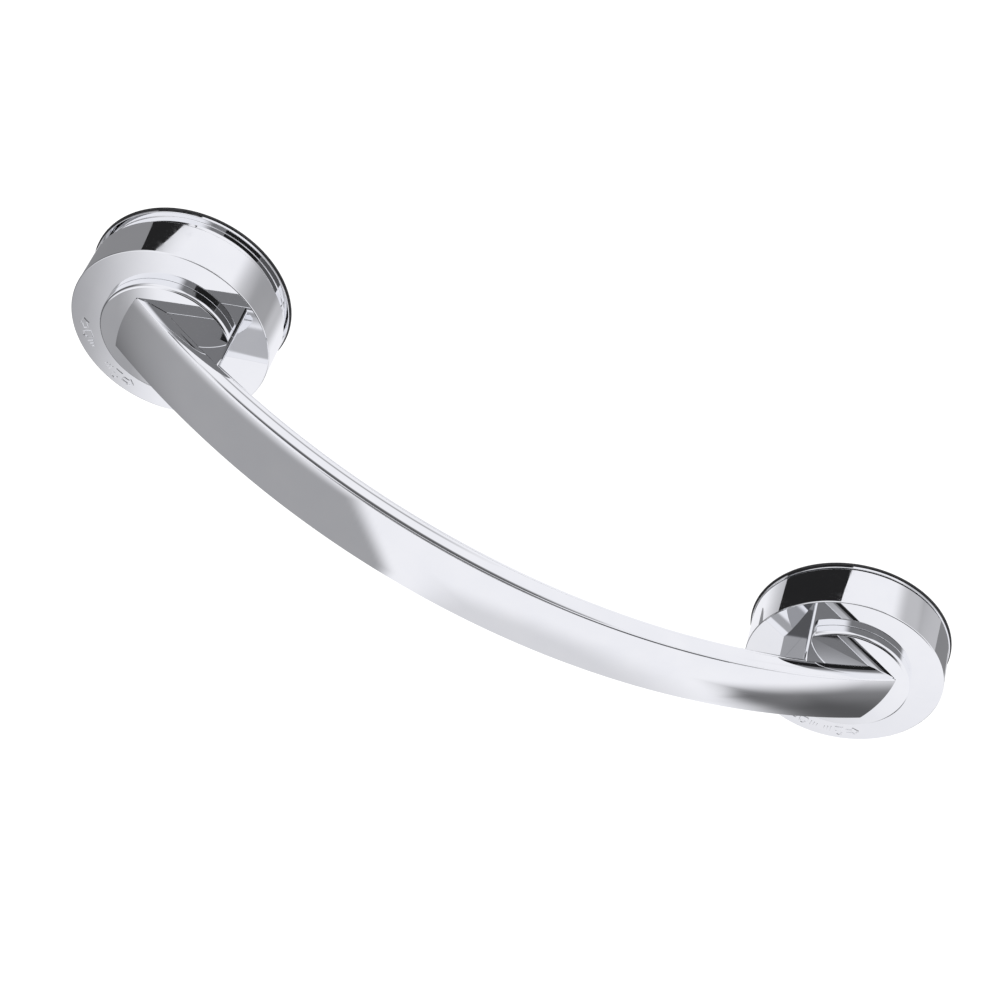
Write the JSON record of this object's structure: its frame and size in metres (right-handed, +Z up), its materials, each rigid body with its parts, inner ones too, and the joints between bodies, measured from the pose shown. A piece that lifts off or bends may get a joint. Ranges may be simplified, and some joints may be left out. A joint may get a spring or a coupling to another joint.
{
  "type": "suction grab bar",
  "caption": "Arched chrome-plated grab bar on round twist-lock suction discs, with cam rings that draw the pads in.",
  "frame": {"origin": "on the wall plane, midway between the axes of the two suction discs", "axes": "+X along the bar from the open to the locked end, +Y into the wall, +Z up"},
  "size_m": [0.38, 0.0792, 0.0818],
  "materials": {
    "chrome_plated_abs": "ABS with mirror-bright chrome plating",
    "black_plastic": "satin moulded",
    "black_rubber": "smooth, slightly glossy",
    "zinc_steel": "bright zinc",
    "white_slip_plastic": "natural"
  },
  "bodies": {
    "handle": {"handle_front_shell": "chrome_plated_abs", "handle_rear_shell": "chrome_plated_abs", "left_hub": "chrome_plated_abs", "left_slip_washer": "white_slip_plastic", "left_retainer": "black_plastic", "left_hub_screw_1": "zinc_steel", "left_hub_screw_2": "zinc_steel", "left_hub_screw_3": "zinc_steel", "left_shell_screw_1": "zinc_steel", "left_shell_screw_2": "zinc_steel", "right_hub": "chrome_plated_abs", "right_slip_washer": "white_slip_plastic", "right_retainer": "black_plastic", "right_hub_screw_1": "zinc_steel", "right_hub_screw_2": "zinc_steel", "right_hub_screw_3": "zinc_steel", "right_shell_screw_1": "zinc_steel", "right_shell_screw_2": "zinc_steel"},
    "left_ring": {"left_lock_ring": "chrome_plated_abs"},
    "left_pad_unit": {"left_carrier": "black_plastic", "left_base_plate": "chrome_plated_abs", "left_suction_pad": "black_rubber", "left_pad_stud": "zinc_steel", "left_stud_washer": "zinc_steel", "left_stud_nut": "zinc_steel", "left_cam_pin_1": "zinc_steel", "left_cam_pin_2": "zinc_steel", "left_cam_pin_3": "zinc_steel", "left_carrier_screw_1": "zinc_steel", "left_carrier_screw_2": "zinc_steel", "left_carrier_screw_3": "zinc_steel"},
    "right_ring": {"right_lock_ring": "chrome_plated_abs"},
    "right_pad_unit": {"right_carrier": "black_plastic", "right_base_plate": "chrome_plated_abs", "right_suction_pad": "black_rubber", "right_pad_stud": "zinc_steel", "right_stud_washer": "zinc_steel", "right_stud_nut": "zinc_steel", "right_cam_pin_1": "zinc_steel", "right_cam_pin_2": "zinc_steel", "right_cam_pin_3": "zinc_steel", "right_carrier_screw_1": "zinc_steel", "right_carrier_screw_2": "zinc_steel", "right_carrier_screw_3": "zinc_steel"}
  },
  "joints": [
    {"name": "left_ring_turn", "type": "hinge", "parent": "handle", "child": "left_ring", "pos_m": [-0.1491, -0.012, 0], "axis": [0, 1, 0], "range_deg": [0, 120]},
    {"name": "right_ring_turn", "type": "hinge", "parent": "handle", "child": "right_ring", "pos_m": [0.1491, -0.012, 0], "axis": [0, 1, 0], "range_deg": [-120, 0]},
    {"name": "left_pad_travel", "type": "slide", "parent": "handle", "child": "left_pad_unit", "axis": [0, -1, 0], "range_m": [0, 0.0052]},
    {"name": "right_pad_travel", "type": "slide", "parent": "handle", "child": "right_pad_unit", "axis": [0, -1, 0], "range_m": [-0.0052, 0]}
  ],
  "couplings": [
    {"joint": "left_pad_travel", "follows": "left_ring_turn", "m_per_rad": 0.0024828},
    {"joint": "right_pad_travel", "follows": "right_ring_turn", "m_per_rad": 0.0024828}
  ]
}
